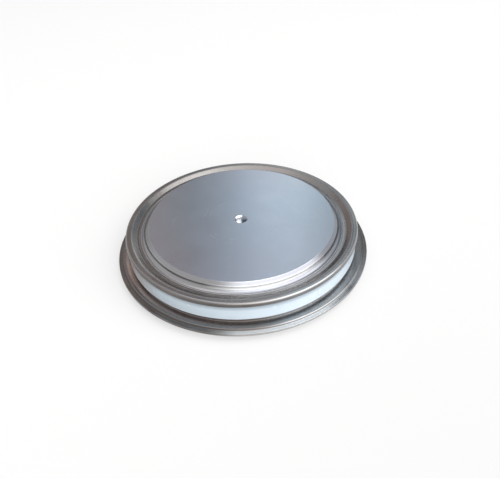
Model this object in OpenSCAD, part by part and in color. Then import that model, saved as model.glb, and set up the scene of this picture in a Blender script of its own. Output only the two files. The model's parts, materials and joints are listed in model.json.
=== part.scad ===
// Disc thyristor capsule
// Two plated copper pole pieces stand in a ceramic ring and press on a silicon wafer.
// Thin formed sheets join the poles to the ring and close the case.
// The origin is the centre of the anode contact face. +Z points to the cathode face.
// All lengths are in millimetres.

/* [Contact faces] */
// Distance between the two contact faces
height = 14; // [13.6:0.2:18]
// Diameter of each contact face
face_d = 63; // [50:0.5:75]
// Width of the bevel around a contact face, along the radius
bevel_w = 1.1; // [0.6:0.1:1.6]
// Height of that bevel
bevel_h = 1.0; // [0.5:0.1:1.4]
// Height of a contact face above the sheet that surrounds it
mesa_h = 2.6; // [2:0.1:3]
// Diameter of the centring hole in each contact face
hole_d = 3.5; // [2.5:0.1:5]
// Depth of the centring holes
hole_depth = 2; // [1.4:0.1:2.4]
// Width of the countersink at the mouth of each centring hole
hole_sink = 0.5; // [0.2:0.1:0.8]

/* [Pole pieces] */
// Thickness of the anode pole piece
anode_pole_t = 4.6; // [4.4:0.1:5.4]
// Gap between the foot of a raised face and the sheet brazed around it
braze_gap = 0.3; // [0.1:0.1:0.5]
// Width of the step on which that sheet is brazed
braze_land = 0.9; // [0.6:0.1:1.5]
// How far the cathode pole steps back around its seat for the stack
cathode_relief = 0.9; // [0.5:0.1:1.2]
// How far the anode pole steps back around its seat for the stack
anode_relief = 0.4; // [0.2:0.1:0.6]

/* [Ceramic ring] */
// Gap between the pole pieces and the ring
pole_gap = 0.9; // [0.6:0.1:2]
// Wall thickness of the ring
ceramic_wall = 2.7; // [2.2:0.1:5]
// Rounding of the ring's outer edges
ceramic_round = 0.45; // [0.2:0.05:0.7]

/* [Sheet flanges] */
// Thickness of the cathode sheet and of the lid sheet
sheet_t = 0.4; // [0.3:0.05:0.5]
// Height of the cathode sheet's crest above its inner border
cap_rise = 1.0; // [0.8:0.1:1.3]
// Height of the cathode sheet's turned-down rim, from its crest
rim_h = 1.4; // [1.2:0.1:2]
// Gap between that rim and the ring
rim_gap = 0.05; // [0.02:0.01:0.2]
// Thickness of the weld flange
weld_t = 0.5; // [0.4:0.05:0.6]
// How far the weld rim stands out from the ring
rim_out = 4; // [3:0.1:8]
// Width of the weld rim, outside its step
weld_land = 1.5; // [1.2:0.1:2]
// Height of the step between the weld rim and the flange's flat
weld_step = 0.6; // [0.4:0.1:0.8]
// Height of the neck between the flange's flat and the ring
neck_h = 1.25; // [1.1:0.05:1.6]
// How far the neck is set back from the ring's outer wall
neck_inset = 0.7; // [0.5:0.05:0.9]
// Depth of the pressed groove in the lid sheet's rim
press_depth = 0.14; // [0.08:0.02:0.2]

/* [Wafer stack] */
// Thickness of each silver foil
foil_t = 0.1; // [0.05:0.01:0.2]
// Thickness of the anode molybdenum disc
anode_disc_t = 2; // [1.6:0.1:2.4]
// Thickness of the silicon wafer
wafer_t = 0.6; // [0.4:0.05:0.8]
// Thickness of the cathode molybdenum disc
cathode_disc_t = 0.9; // [0.8:0.1:1.2]
// How far the wafer's edge lies inside the anode disc's edge
wafer_inset = 0.5; // [0.3:0.1:0.8]
// Width of the ground bevel on the wafer's edge
wafer_bevel = 0.7; // [0.4:0.1:1]
// Width of the rubber seal that laps over the top of the wafer
seal_lap = 0.9; // [0.5:0.1:1.1]
// Height of the rubber seal above the wafer
seal_rise = 0.5; // [0.3:0.1:0.7]
// Gap between the rubber seal and the cathode disc
seat_gap = 0.7; // [0.3:0.1:2]
// Running clearance around the stack and the locating ring
stack_gap = 0.15; // [0.1:0.05:0.3]

/* [Gate contact] */
// Diameter of the bore for the gate contact in the cathode pole
gate_bore_d = 6; // [5.6:0.1:8]
// Depth of that bore
gate_bore_depth = 2.6; // [2.4:0.1:2.9]
// Wall thickness of the insulating cup
cup_wall = 0.5; // [0.4:0.05:0.6]
// Gap between the cup and its bore, and between the cup and the wafer
cup_gap = 0.1; // [0.05:0.05:0.2]
// Height of the contact pin from the wafer to the top of its head
pin_h = 1.55; // [1.4:0.05:1.7]
// Thickness of the contact pin's head
pin_head_t = 0.45; // [0.3:0.05:0.6]
// Diameter of the contact pin's stem
pin_d = 1.8; // [1.4:0.1:2.2]
// Diameter of the spring's wire
spring_wire = 0.25; // [0.2:0.01:0.3]
// Outside diameter of the spring
spring_d = 2.3; // [1.8:0.1:2.4]
// Diameter of the inner gate lead
lead_d = 0.5; // [0.4:0.05:0.6]
// Radius of the lead's bends between the wafer stack and the gate tube
lead_bend = 2; // [1:0.5:3]
// Outside diameter of the sleeve on the inner gate lead
sleeve_d = 1.3; // [1:0.05:1.5]
// Gap between the sleeve and the slot that holds it
slot_gap = 0.1; // [0.05:0.05:0.2]

/* [Terminals] */
// Outside diameter of the gate tube
tube_d = 2; // [1.6:0.1:2.6]
// Length of the gate tube outside its collar
tube_out = 2.9; // [2:0.1:3.2]
// Diameter of the gate tube's collar
collar_d = 3.6; // [3:0.1:4.4]
// Thickness of the collar
collar_t = 0.5; // [0.3:0.1:0.7]
// Angle from the gate tube to the auxiliary cathode tab
tab_angle = 18; // [10:1:40]
// Width of the tab
tab_w = 2.8; // [2:0.1:4.8]
// Thickness of the tab
tab_t = 0.4; // [0.3:0.05:0.5]
// Diameter of the eyelet in the tab
tab_eye_d = 1.3; // [0.8:0.1:1.8]

/* [Hidden] */
$fn = 144;

// Radii, from the middle outwards
face_r = face_d / 2;
cove_r = mesa_h - bevel_h;
foot_r = face_r + bevel_w + cove_r;
sheet_in_r = foot_r + braze_gap;
pole_r = sheet_in_r + braze_land;
ceramic_in_r = pole_r + pole_gap;
ceramic_r = ceramic_in_r + ceramic_wall;
rim_r = ceramic_r + rim_gap + sheet_t;
neck_r = ceramic_r - neck_inset;
flange_r = ceramic_r + rim_out;
step_r = flange_r - weld_land;

// Heights of the case, from the anode face upwards
lid_z = mesa_h;
lid_top = lid_z + sheet_t;
flat_top = lid_top + weld_step + weld_t;
ceramic_bottom = flat_top + neck_h;
border_top = height - mesa_h;
crest_top = border_top + cap_rise;
ceramic_top = crest_top - sheet_t;
rim_bottom = crest_top - rim_h;

// Heights of the stack, from the anode face upwards
anode_disc_z = anode_pole_t + foil_t;
wafer_z = anode_disc_z + anode_disc_t;
wafer_top = wafer_z + wafer_t;
cathode_foil_z = wafer_top + cathode_disc_t;
cathode_pole_z = cathode_foil_z + foil_t;
cathode_pole_t = height - cathode_pole_z;

// Wafer stack
disc_r = face_r;
wafer_r = disc_r - wafer_inset;
wafer_top_r = wafer_r - wafer_bevel;
seal_in_r = wafer_top_r - seal_lap;
cathode_seat_r = seal_in_r - seat_gap;
seal_round = 0.25;
ring_drop = 0.6;
ring_wall = 0.5;

// Gate contact
gate_bore_r = gate_bore_d / 2;
cup_r = gate_bore_r - cup_gap;
cup_in_r = cup_r - cup_wall;
cup_top = cathode_pole_z + gate_bore_depth;
pin_top = wafer_top + pin_h;
pin_head_r = cup_in_r - cup_gap;
pin_tip_round = 0.3;
lead_z = pin_top + lead_d / 2;
lead_gap = 0.05;
lead_start = spring_d / 2 + cup_gap;
slot_r = sleeve_d / 2 + slot_gap;

// Terminals, with the gate tube halfway up the open wall of the ceramic
collar_seat = 0.1;
collar_y = ceramic_r - collar_seat;
tube_z = (ceramic_bottom + rim_bottom) / 2;
tube_in_y = ceramic_in_r - pole_gap / 2;
tube_end_y = collar_y + collar_t + tube_out;
tube_gap = 0.04;
tab_reach = 3;
tab_fall = 2.4;
tab_bend = 0.45;
elbow_drop = 0.2;

// The gate lead runs level over the stack, then across to the gate tube
lead_turn_gap = 1;
slot_z = max(lead_z, tube_z);

// Bends and edges of the sheets, with radii on the middle of the sheet
bend_r = 0.4;
step_bend_r = 0.35;
step_run = 0.3;
shoulder_r = ceramic_round + sheet_t / 2;
braze_inset = 0.1;
edge_round = 0.12;
groove_r = 0.5;
bend_steps = 6;

// Slope of the cathode sheet, from its inner border up over the wall of the ceramic ring.
// The ring's inner edge is ground back below the slope.
ramp_land = 0.35;
ramp_foot_r = 0.6;
ramp_crest_r = 0.9;
ramp_share = 0.4;
ramp_in = pole_r + ramp_land;
ramp_out = ceramic_in_r + ramp_share * ceramic_wall;
ramp_slope = cap_rise / (ramp_out - ramp_in);
relief_gap = 0.06;
relief_r = ramp_out + ramp_crest_r * tan(atan(ramp_slope) / 2) + relief_gap;
relief_h = ramp_slope * (relief_r - ceramic_in_r) + 2 * relief_gap;

// How far each cut runs past the surface it opens
over = 1;

copper_plated = [0.62, 0.63, 0.65];
sheet_grey = [0.52, 0.5, 0.48];
alumina = [0.93, 0.95, 0.97];
silver = [0.86, 0.86, 0.87];
molybdenum = [0.45, 0.46, 0.48];

// Middle line of the gate lead from y0 to y1, as [y, z] points
function lead_path(y0, y1) =
    let (
        a = [y0, lead_z],
        b = [disc_r - lead_turn_gap, lead_z],
        c = [tube_in_y - lead_turn_gap, tube_z],
        d = [y1, tube_z]
    )
    concat([a], bend(a, b, c, lead_bend, 0), bend(b, c, d, lead_bend, 0), [d]);

function unit(v) = v / norm(v);
function flat(p) = [p[0], p[1]];
function left(v) = [-v[1], v[0]];
function around(list, i) = list[(i + len(list)) % len(list)];

// Faces of a closed tube or wire made of rings of points, with a flat at each end
function tube_faces(last, sides) =
    concat(
        [for (i = [0:last - 1])
            for (j = [0:sides - 1])
                let (k = (j + 1) % sides)
                [i * sides + j, (i + 1) * sides + j, (i + 1) * sides + k, i * sides + k]],
        [[for (j = [0:sides - 1]) j]],
        [[for (j = [sides - 1:-1:0]) last * sides + j]]
    );

// Points of the bend at b, between a and c, on a line that runs d to the left of the path.
// Both faces of a sheet turn about the same centre, so its thickness stays the same.
function bend(a, b, c, r, d) =
    let (
        u = unit(b - a),
        v = unit(c - b),
        turn = atan2(cross(u, v), u * v)
    )
    turn == 0 ? [b + d * left(u)] : arc(b, u, v, turn, r, d);

function arc(b, u, v, turn, r, d) =
    let (
        side = sign(turn),
        centre = b + unit(v - u) * r / cos(turn / 2),
        start = atan2(left(u)[1], left(u)[0])
    )
    [for (i = [0:bend_steps])
        let (angle = start + turn * i / bend_steps)
        centre - side * (r - side * d) * [cos(angle), sin(angle)]];

// One face of a bent sheet. Each point of the path is [radius, height, bend radius].
function sheet_face(path, d) =
    let (last = len(path) - 1)
    [for (i = [0:last])
        let (p = flat(path[i]))
        each i == 0 ? [p + d * left(unit(flat(path[1]) - p))]
            : i == last ? [p + d * left(unit(p - flat(path[i - 1])))]
            : bend(flat(path[i - 1]), p, flat(path[i + 1]), path[i][2], d)];

// Section of a bent sheet of thickness t whose middle follows the path
function sheet_section(path, t) =
    let (back = sheet_face(path, -t / 2))
    concat(sheet_face(path, t / 2), [for (i = [len(back) - 1:-1:0]) back[i]]);

// Closed outline whose corners are rounded. Each point is [radius, height, rounding].
function outline(points) =
    [for (i = [0:len(points) - 1])
        let (p = points[i])
        each p[2] > 0
            ? bend(flat(around(points, i - 1)), flat(p), flat(around(points, i + 1)), p[2], 0)
            : [flat(p)]];

// Rectangle of a ring's section, with the same rounding at each corner
function ring_outline(r0, r1, z0, z1, round) =
    outline([[r0, z0, round], [r1, z0, round], [r1, z1, round], [r0, z1, round]]);

module ring(r0, r1, z0, z1) {
    translate([0, 0, z0])
        difference() {
            cylinder(r = r1, h = z1 - z0);
            translate([0, 0, -over])
                cylinder(r = r0, h = z1 - z0 + 2 * over);
        }
}

// Round bar from a to b, two [y, z] points in the plane x = 0
module bar(r, a, b) {
    slope = atan2(b[1] - a[1], b[0] - a[0]);
    translate([0, a[0], a[1]])
        rotate([slope - 90, 0, 0])
            cylinder(r = r, h = norm(b - a), $fn = 48);
}

// Round bar along +Y at one height
module bar_y(r, y0, y1, z) {
    bar(r, [y0, z], [y1, z]);
}

// Round wire whose middle follows [y, z] points in the plane x = 0
module wire(r, path) {
    sides = 16;
    last = len(path) - 1;
    points = [
        for (i = [0:last])
            let (
                ahead = path[min(i + 1, last)] - path[max(i - 1, 0)],
                across = r * left(unit(ahead))
            )
            for (j = [0:sides - 1])
                let (a = 360 * j / sides)
                [r * sin(a), path[i][0] + cos(a) * across[0], path[i][1] + cos(a) * across[1]]
    ];
    polyhedron(points, tube_faces(last, sides));
}

// Pole piece with its contact face down at z = 0 and its seat for the wafer on top
module pole_piece(thick, seat_r, relief) {
    difference() {
        rotate_extrude()
            polygon(concat(
                [[0, 0], [face_r, 0]],
                [for (i = [0:2 * bend_steps])
                    let (a = 90 * i / (2 * bend_steps))
                    [foot_r - cove_r * cos(a), bevel_h + cove_r * sin(a)]],
                [[foot_r, mesa_h + sheet_t], [pole_r, mesa_h + sheet_t], [pole_r, thick - relief],
                    [seat_r, thick - relief], [seat_r, thick], [0, thick]]
            ));
        translate([0, 0, -over])
            cylinder(r = hole_d / 2, h = hole_depth + over, $fn = 48);
        translate([0, 0, -hole_sink])
            cylinder(r1 = hole_d / 2 + 2 * hole_sink, r2 = hole_d / 2, h = 2 * hole_sink, $fn = 48);
    }
}

module anode_pole() {
    color(copper_plated)
        pole_piece(anode_pole_t, disc_r, anode_relief);
}

// The cathode pole also holds the gate contact in a bore, and its lead in a slot
module cathode_pole() {
    color(copper_plated)
        difference() {
            translate([0, 0, height])
                mirror([0, 0, 1])
                    pole_piece(cathode_pole_t, cathode_seat_r, cathode_relief);
            translate([0, 0, cathode_pole_z - over])
                cylinder(r = gate_bore_r, h = gate_bore_depth + over, $fn = 72);
            bar_y(slot_r, 0, pole_r + over, slot_z);
            translate([-slot_r, 0, cathode_pole_z - over])
                cube([2 * slot_r, pole_r + over, slot_z - cathode_pole_z + over]);
        }
}

// Thin sheet from the cathode pole over the end of the ceramic ring, turned down around it
module cathode_flange() {
    side = rim_r - sheet_t / 2;
    path = [
        [sheet_in_r, border_top - sheet_t / 2, 0],
        [ramp_in, border_top - sheet_t / 2, ramp_foot_r],
        [ramp_out, crest_top - sheet_t / 2, ramp_crest_r],
        [side, crest_top - sheet_t / 2, shoulder_r],
        [side, rim_bottom, 0]
    ];
    color(sheet_grey)
        rotate_extrude()
            polygon(sheet_section(path, sheet_t));
}

// Alumina ring with ground ends, and a hole with a spot face for the gate tube
module ceramic_ring() {
    color(alumina)
        difference() {
            rotate_extrude()
                polygon(outline([
                    [ceramic_in_r, ceramic_bottom, ceramic_round / 2],
                    [ceramic_r, ceramic_bottom, ceramic_round],
                    [ceramic_r, ceramic_top, ceramic_round],
                    [relief_r, ceramic_top, 0],
                    [ceramic_in_r, ceramic_top - relief_h, ceramic_round / 2]
                ]));
            bar_y(tube_d / 2 + tube_gap, ceramic_in_r - over, ceramic_r + over, tube_z);
            bar_y(collar_d / 2 + tube_gap, collar_y, ceramic_r + over, tube_z);
        }
}

// Formed ring from the foot of the ceramic out to the weld rim
module weld_flange() {
    neck = neck_r - weld_t / 2;
    rim_z = lid_top + weld_t / 2;
    flat_z = flat_top - weld_t / 2;
    path = [
        [ceramic_in_r + braze_inset, ceramic_bottom - weld_t / 2, 0],
        [neck, ceramic_bottom - weld_t / 2, bend_r],
        [neck, flat_z, bend_r],
        [step_r - step_run / 2, flat_z, step_bend_r],
        [step_r + step_run / 2, rim_z, step_bend_r],
        [flange_r, rim_z, 0]
    ];
    color(sheet_grey)
        rotate_extrude()
            polygon(sheet_section(path, weld_t));
}

// Flat sheet from the anode pole to the weld rim, with the groove that the weld die leaves
module lid_flange() {
    color(sheet_grey)
        difference() {
            rotate_extrude()
                polygon(ring_outline(sheet_in_r, flange_r, lid_z, lid_top, edge_round));
            rotate_extrude()
                translate([flange_r - weld_land / 2, lid_z + press_depth - groove_r])
                    circle(r = groove_r, $fn = 48);
        }
}

module anode_foil() {
    color(silver)
        translate([0, 0, anode_pole_t])
            cylinder(r = disc_r, h = foil_t);
}

module anode_disc() {
    color(molybdenum)
        translate([0, 0, anode_disc_z])
            cylinder(r = disc_r, h = anode_disc_t);
}

// Wafer alloyed to the anode disc, with its edge ground to a bevel
module silicon_wafer() {
    color([0.25, 0.27, 0.32])
        translate([0, 0, wafer_z])
            cylinder(r1 = wafer_r, r2 = wafer_top_r, h = wafer_t);
}

// Silicone rubber around the wafer's bevelled edge
module edge_seal() {
    color([0.75, 0.3, 0.22])
        rotate_extrude()
            polygon(outline([
                [wafer_r, wafer_z, 0],
                [disc_r, wafer_z, 0],
                [disc_r, wafer_top + seal_rise, seal_round],
                [seal_in_r, wafer_top + seal_rise, seal_round],
                [seal_in_r, wafer_top, 0],
                [wafer_top_r, wafer_top, 0]
            ]));
}

module cathode_disc() {
    color(molybdenum)
        ring(gate_bore_r, cathode_seat_r, wafer_top, cathode_foil_z);
}

module cathode_foil() {
    color(silver)
        ring(gate_bore_r, cathode_seat_r, cathode_foil_z, cathode_pole_z);
}

// Plastic ring that centres the anode disc and the anode pole in the ceramic ring
module locating_ring() {
    seat_z = anode_pole_t - anode_relief;
    color([0.95, 0.95, 0.92])
        rotate_extrude()
            polygon([
                [disc_r + stack_gap, seat_z],
                [pole_r + stack_gap, seat_z],
                [pole_r + stack_gap, seat_z - ring_drop],
                [ceramic_in_r - stack_gap, seat_z - ring_drop],
                [ceramic_in_r - stack_gap, wafer_z - ring_drop],
                [ceramic_in_r - stack_gap - ring_wall, wafer_z],
                [disc_r + stack_gap, wafer_z]
            ]);
}

// Insulating cup around the spring and the contact pin, with a hole for the lead
module gate_cup() {
    color([0.93, 0.93, 0.9])
        difference() {
            rotate_extrude()
                polygon([
                    [0, cup_top], [cup_r, cup_top], [cup_r, wafer_top + cup_gap],
                    [cup_in_r, wafer_top + cup_gap], [cup_in_r, cup_top - cup_wall], [0, cup_top - cup_wall]
                ]);
            bar_y(lead_d / 2 + lead_gap, 0, gate_bore_d, lead_z);
        }
}

// Compression spring with one dead quarter turn at each end
module gate_spring() {
    turns = 3.5;
    steps = 16;
    sides = 8;
    dead = 0.25;
    length = cup_top - cup_wall - pin_top;
    mean_r = (spring_d - spring_wire) / 2;
    wire_r = spring_wire / 2 / cos(180 / sides);
    rings = turns * steps;
    function rise(i) =
        let (part = (i / steps - dead) / (turns - 2 * dead))
        (length - spring_wire) * max(0, min(1, part));
    points = [
        for (i = [0:rings])
            for (j = [0:sides - 1])
                let (
                    turn = 360 * i / steps,
                    a = 360 * (j + 0.5) / sides,
                    r = mean_r + wire_r * cos(a)
                )
                [r * cos(turn), r * sin(turn), pin_top + spring_wire / 2 + rise(i) + wire_r * sin(a)]
    ];
    color("lightsteelblue")
        polyhedron(points, tube_faces(rings, sides));
}

// Contact pin: a wide head under the spring, and a stem with a rounded tip on the wafer
module gate_pin() {
    color(silver)
        rotate_extrude()
            polygon(outline([
                [0, wafer_top, 0],
                [pin_d / 2, wafer_top, pin_tip_round],
                [pin_d / 2, pin_top - pin_head_t, 0],
                [pin_head_r, pin_top - pin_head_t, 0],
                [pin_head_r, pin_top, 0],
                [0, pin_top, 0]
            ]));
}

// Inner lead from the head of the contact pin to the end of the gate tube
module gate_lead() {
    color(silver)
        wire(lead_d / 2, lead_path(lead_start, tube_end_y + lead_d / 2));
}

module gate_sleeve() {
    color([0.96, 0.96, 0.94])
        difference() {
            wire(sleeve_d / 2, lead_path(gate_bore_r + cup_gap, tube_in_y - cup_gap));
            wire(lead_d / 2 + lead_gap, lead_path(0, ceramic_r));
        }
}

// Metal tube brazed through the ceramic wall, with its collar on the spot face
module gate_tube() {
    color(sheet_grey)
        difference() {
            union() {
                bar_y(tube_d / 2, tube_in_y, tube_end_y, tube_z);
                bar_y(collar_d / 2, collar_y, collar_y + collar_t, tube_z);
            }
            bar_y(lead_d / 2 + lead_gap, 0, tube_end_y + over, tube_z);
        }
}

// Auxiliary cathode tab, welded to the rim of the cathode sheet and bent down clear of it
module cathode_tab() {
    leg_top = crest_top - shoulder_r - sheet_t / 2;
    leg_r = rim_r + tab_t / 2;
    elbow_z = rim_bottom - elbow_drop;
    path = [
        [leg_r, leg_top, 0],
        [leg_r, elbow_z, tab_bend],
        [leg_r + tab_reach, elbow_z - tab_fall, 0]
    ];
    slope = atan(tab_fall / tab_reach);
    eye = [leg_r + tab_reach - tab_w / 2 * cos(slope), elbow_z - tab_fall + tab_w / 2 * sin(slope)];
    color(sheet_grey)
        rotate([0, 0, 90 - tab_angle])
            difference() {
                rotate([90, 0, 0])
                    linear_extrude(tab_w, center = true)
                        polygon(sheet_section(path, tab_t));
                translate([eye[0], 0, eye[1]])
                    rotate([0, slope, 0])
                        cylinder(r = tab_eye_d / 2, h = 3 * tab_t, center = true, $fn = 48);
                cylinder(r = rim_r, h = height);
            }
}

cathode_pole();
cathode_flange();
ceramic_ring();
weld_flange();
lid_flange();
anode_pole();
anode_foil();
anode_disc();
silicon_wafer();
edge_seal();
cathode_disc();
cathode_foil();
locating_ring();
gate_cup();
gate_spring();
gate_pin();
gate_lead();
gate_sleeve();
gate_tube();
cathode_tab();
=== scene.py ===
import json
import math
import bpy
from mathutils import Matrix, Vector


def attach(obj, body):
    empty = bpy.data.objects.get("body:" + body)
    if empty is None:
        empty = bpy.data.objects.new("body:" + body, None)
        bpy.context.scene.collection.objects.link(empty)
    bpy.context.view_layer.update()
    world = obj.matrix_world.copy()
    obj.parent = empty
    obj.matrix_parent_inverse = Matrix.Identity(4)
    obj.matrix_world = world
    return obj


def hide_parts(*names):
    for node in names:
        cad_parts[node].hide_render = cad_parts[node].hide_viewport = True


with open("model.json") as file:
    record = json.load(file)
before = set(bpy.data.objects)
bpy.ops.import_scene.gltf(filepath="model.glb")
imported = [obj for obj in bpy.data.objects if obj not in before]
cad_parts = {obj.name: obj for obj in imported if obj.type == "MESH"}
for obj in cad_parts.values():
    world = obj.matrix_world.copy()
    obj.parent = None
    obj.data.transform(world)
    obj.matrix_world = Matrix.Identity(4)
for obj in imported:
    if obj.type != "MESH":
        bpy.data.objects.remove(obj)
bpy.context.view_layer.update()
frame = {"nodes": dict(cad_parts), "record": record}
nodes = frame["nodes"]
scene = bpy.context.scene
mm = 0.001
white = (1, 1, 1, 1)
usual = (0.3, 0.7)  # where most values of a noise lie
print("frame loaded with", len(nodes), "nodes")


# Keys of wires are socket names or numbers, values are plain values or other sockets
def wireUp(tree, node, wires):
    for key, value in wires.items():
        if isinstance(value, bpy.types.NodeSocket):
            tree.links.new(value, node.inputs[key])
        else:
            node.inputs[key].default_value = value


# Adds one node. A kind without its prefix gets the one of its tree.
def put(tree, kind, wires=None, **settings):
    prefix = "ShaderNode" if tree.type == "SHADER" else "GeometryNode"
    node = tree.nodes.new(kind if "Node" in kind else prefix + kind)
    for key, value in settings.items():
        setattr(node, key, value)
    wireUp(tree, node, wires or {})
    return node


def calc(tree, operation, a, b=0.0, clamp=False):
    return put(tree, "ShaderNodeMath", {0: a, 1: b}, operation=operation, use_clamp=clamp).outputs[0]


def times(tree, *values):
    result = values[0]
    for value in values[1:]:
        result = calc(tree, "MULTIPLY", result, value)
    return result


def inverse(tree, value):
    return calc(tree, "SUBTRACT", 1.0, value)


def spread(tree, value, low, high, toLow=0.0, toHigh=1.0):
    wires = {"Value": value, "From Min": low, "From Max": high, "To Min": toLow, "To Max": toHigh}
    return put(tree, "ShaderNodeMapRange", wires, clamp=True).outputs["Result"]


# The Mix node's sockets go by number: 2 and 3 for values, 4 and 5 for vectors, 6 and 7 for colours
def blend(tree, factor, a, b):
    return put(tree, "Mix", {0: factor, 2: a, 3: b}).outputs[0]


def blendVector(tree, factor, a, b):
    return put(tree, "Mix", {0: factor, 4: a, 5: b}, data_type="VECTOR").outputs[1]


def blendColor(tree, factor, a, b, mode="MIX"):
    return put(tree, "Mix", {0: factor, 6: a, 7: b}, data_type="RGBA", blend_type=mode).outputs[2]


# Lays a paint over a colour where all the masks are
def lay(tree, color, paint, *masks):
    return blendColor(tree, times(tree, *masks), color, paint)


# Tints a colour where the mask is
def tint(tree, color, shade, mask=1.0):
    return blendColor(tree, mask, color, shade, "MULTIPLY")


def noise(tree, where, scale, detail=3.0, rough=0.5, dims="3D", w=None):
    wires = {"Scale": scale, "Detail": detail, "Roughness": rough}
    wires["W" if dims == "1D" else "Vector"] = where
    if w is not None:
        wires["W"] = w
    return put(tree, "ShaderNodeTexNoise", wires, noise_dimensions=dims).outputs[0]


def newTree(kind, name, inputs, outputs):
    tree = bpy.data.node_groups.new(name, kind)
    for label, socketKind, value in inputs:
        socket = tree.interface.new_socket(label, in_out="INPUT", socket_type="NodeSocket" + socketKind)
        if value is not None:
            socket.default_value = value
    for label, socketKind in outputs:
        tree.interface.new_socket(label, in_out="OUTPUT", socket_type="NodeSocket" + socketKind)
    given = tree.nodes.new("NodeGroupInput").outputs
    out = tree.nodes.new("NodeGroupOutput").inputs
    return tree, given, out


def useGroup(tree, group, wires):
    node = tree.nodes.new("ShaderNodeGroup")
    node.node_tree = group
    wireUp(tree, node, wires)
    return node.outputs


# Distance from the capsule's axis and height in millimetres, and the angle about the axis in turns
def makeAxisPlaces():
    tree, given, out = newTree(
        "ShaderNodeTree", "axisPlaces", [("Place", "Vector", None)],
        [("Radius", "Float"), ("Turn", "Float"), ("Height", "Float")])
    x, y, z = put(tree, "SeparateXYZ", {0: given["Place"]}).outputs
    square = calc(tree, "ADD", times(tree, x, x), times(tree, y, y))
    turn = calc(tree, "DIVIDE", calc(tree, "ARCTAN2", y, x), 2 * math.pi)
    tree.links.new(times(tree, calc(tree, "SQRT", square), 1 / mm), out["Radius"])
    tree.links.new(turn, out["Turn"])
    tree.links.new(times(tree, z, 1 / mm), out["Height"])
    return tree


lineGrain = {
    "fine": {"detail": 2.0, "rough": 0.6}, "coarse": {"detail": 1.0, "rough": 0.5},
    "fineShare": 0.7, "coarseShare": 0.3, "coarseScale": 0.17,
    "patch": {"scale": 60.0, "detail": 2.0}, "patchRange": (0.35, 0.65),
}


# Fine lines that the lathe leaves round the axis, fading in and out along each turn
def makeTurnedLines():
    grain = lineGrain
    tree, given, out = newTree(
        "ShaderNodeTree", "turnedLines",
        [("Place", "Vector", None), ("Along", "Float", 0.0), ("Lines", "Float", 4.0), ("Fade", "Float", 0.5)],
        [("Lines", "Float")])
    coarseScale = times(tree, given["Lines"], grain["coarseScale"])
    fine = noise(tree, given["Along"], given["Lines"], dims="1D", **grain["fine"])
    coarse = noise(tree, given["Along"], coarseScale, dims="1D", **grain["coarse"])
    patch = spread(tree, noise(tree, given["Place"], **grain["patch"]), *grain["patchRange"])
    lines = calc(tree, "ADD", times(tree, fine, grain["fineShare"]),
                 times(tree, coarse, grain["coarseShare"]))
    shown = inverse(tree, times(tree, patch, given["Fade"]))
    centred = times(tree, calc(tree, "SUBTRACT", lines, 0.5), shown)
    tree.links.new(calc(tree, "ADD", centred, 0.5), out["Lines"])
    return tree


markGrain = {
    "directions": ((0.4, 1.0), (1.3, 1.3), (2.3, 0.8)),  # turn in radians, and how dense
    "along": 60, "across": 2600, "up": 900, "scratch": {"scale": 1.0, "detail": 1.0, "rough": 0.4},
    "thin": (0.74, 0.80), "rub": {"scale": 95.0, "detail": 4.0, "rough": 0.6}, "rubRange": (0.42, 0.68),
}


# Thin scratches in many directions, and the soft rubs that handling and clamping leave
def makeHandlingMarks():
    grain = markGrain
    tree, given, out = newTree(
        "ShaderNodeTree", "handlingMarks",
        [("Place", "Vector", None), ("Scratches", "Float", 0.5), ("Rubs", "Float", 0.5)],
        [("Scratch", "Float"), ("Rub", "Float")])
    most = 0.0
    for turn, dense in grain["directions"]:
        scale = (grain["along"] * dense, grain["across"] * dense, grain["up"])
        wires = {"Vector": given["Place"], "Rotation": (0, 0, turn), "Scale": scale}
        bent = put(tree, "Mapping", wires).outputs[0]
        mark = spread(tree, noise(tree, bent, **grain["scratch"]), *grain["thin"])
        most = calc(tree, "MAXIMUM", most, mark)
    rub = spread(tree, noise(tree, given["Place"], **grain["rub"]), *grain["rubRange"])
    tree.links.new(times(tree, most, given["Scratches"]), out["Scratch"])
    tree.links.new(times(tree, rub, given["Rubs"]), out["Rub"])
    return tree


toneGrain = {
    "cloud": {"scale": 22.0, "detail": 3.0, "rough": 0.45}, "swing": (-0.35, 0.35),
    "speck": {"scale": 2400.0, "detail": 2.0, "rough": 0.6},
}


# Plating drifts between two tones in broad clouds, with a fine satin speckle
def makePlatingTone():
    grain = toneGrain
    tree, given, out = newTree(
        "ShaderNodeTree", "platingTone",
        [("Place", "Vector", None), ("Cool", "Color", (0.4, 0.43, 0.47, 1)),
         ("Warm", "Color", (0.45, 0.41, 0.4, 1)), ("Lean", "Float", 0.5), ("Speckle", "Float", 0.1)],
        [("Color", "Color")])
    swing = spread(tree, noise(tree, given["Place"], **grain["cloud"]), *usual, *grain["swing"])
    share = calc(tree, "ADD", swing, given["Lean"], clamp=True)
    base = blendColor(tree, share, given["Cool"], given["Warm"])
    speck = calc(tree, "SUBTRACT", noise(tree, given["Place"], **grain["speck"]), 0.5)
    shade = calc(tree, "ADD", 1.0, times(tree, speck, given["Speckle"]))
    grey = put(tree, "CombineColor", {0: shade, 1: shade, 2: shade}).outputs[0]
    tree.links.new(tint(tree, base, grey), out["Color"])
    return tree


# A soft band at one value, such as a radius or a height
def makeSoftBand():
    tree, given, out = newTree(
        "ShaderNodeTree", "softBand",
        [("Value", "Float", 0.0), ("Middle", "Float", 0.0), ("Half", "Float", 1.0), ("Soft", "Float", 0.5)],
        [("Mask", "Float")])
    away = calc(tree, "ABSOLUTE", calc(tree, "SUBTRACT", given["Value"], given["Middle"]))
    past = calc(tree, "DIVIDE", calc(tree, "SUBTRACT", away, given["Half"]), given["Soft"])
    tree.links.new(inverse(tree, calc(tree, "ADD", past, 0.0, clamp=True)), out["Mask"])
    return tree


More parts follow.
